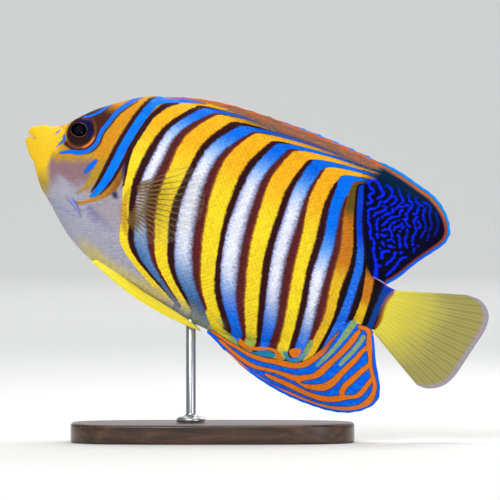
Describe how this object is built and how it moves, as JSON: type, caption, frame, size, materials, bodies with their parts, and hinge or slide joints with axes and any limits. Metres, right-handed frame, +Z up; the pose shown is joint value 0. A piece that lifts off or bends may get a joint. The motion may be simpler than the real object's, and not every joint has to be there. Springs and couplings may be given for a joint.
{
  "type": "regal angelfish model",
  "caption": "Life-size display model of a regal angelfish, nose tilted up, held over a flat wooden base by a short steel rod.",
  "frame": {"origin": "centre of the model's bounding box in plan, at the underside of the stand's base", "axes": "+X from the fish's nose towards its tail, +Y towards the fish's right side, +Z up; the body's own axis rises 26 degrees towards the nose"},
  "size_m": [0.192, 0.058, 0.1438],
  "materials": {
    "face_skin": "moist skin, yellow snout and lilac cheek",
    "cheek_skin": "moist skin, lilac brown with an orange rear margin",
    "eye": "clear wet cornea over a dark blue iris",
    "banded_skin": "small scales, yellow and blue-white bands edged with dark lines",
    "dorsal_membrane": "scaly fin, dark blue with bright blue lines",
    "anal_membrane": "scaly fin, orange and blue stripes along its edge",
    "yellow_membrane": "thin rayed fin, yellow",
    "clear_membrane": "thin clear fin with pale rays",
    "rod_steel": "satin steel",
    "base_wood": "dark stained wood, satin"
  },
  "bodies": {
    "root": {"head": "face_skin", "lower_jaw": "face_skin", "gill_cover_left": "cheek_skin", "gill_cover_right": "cheek_skin", "eye_left": "eye", "eye_right": "eye", "trunk": "banded_skin", "tail_base": "banded_skin", "dorsal_fin": "dorsal_membrane", "anal_fin": "anal_membrane", "caudal_fin": "yellow_membrane", "pectoral_fin_left": "clear_membrane", "pectoral_fin_right": "clear_membrane", "pelvic_fin_left": "yellow_membrane", "pelvic_fin_right": "yellow_membrane", "stand_rod": "rod_steel", "stand_base": "base_wood"}
  },
  "joints": []
}
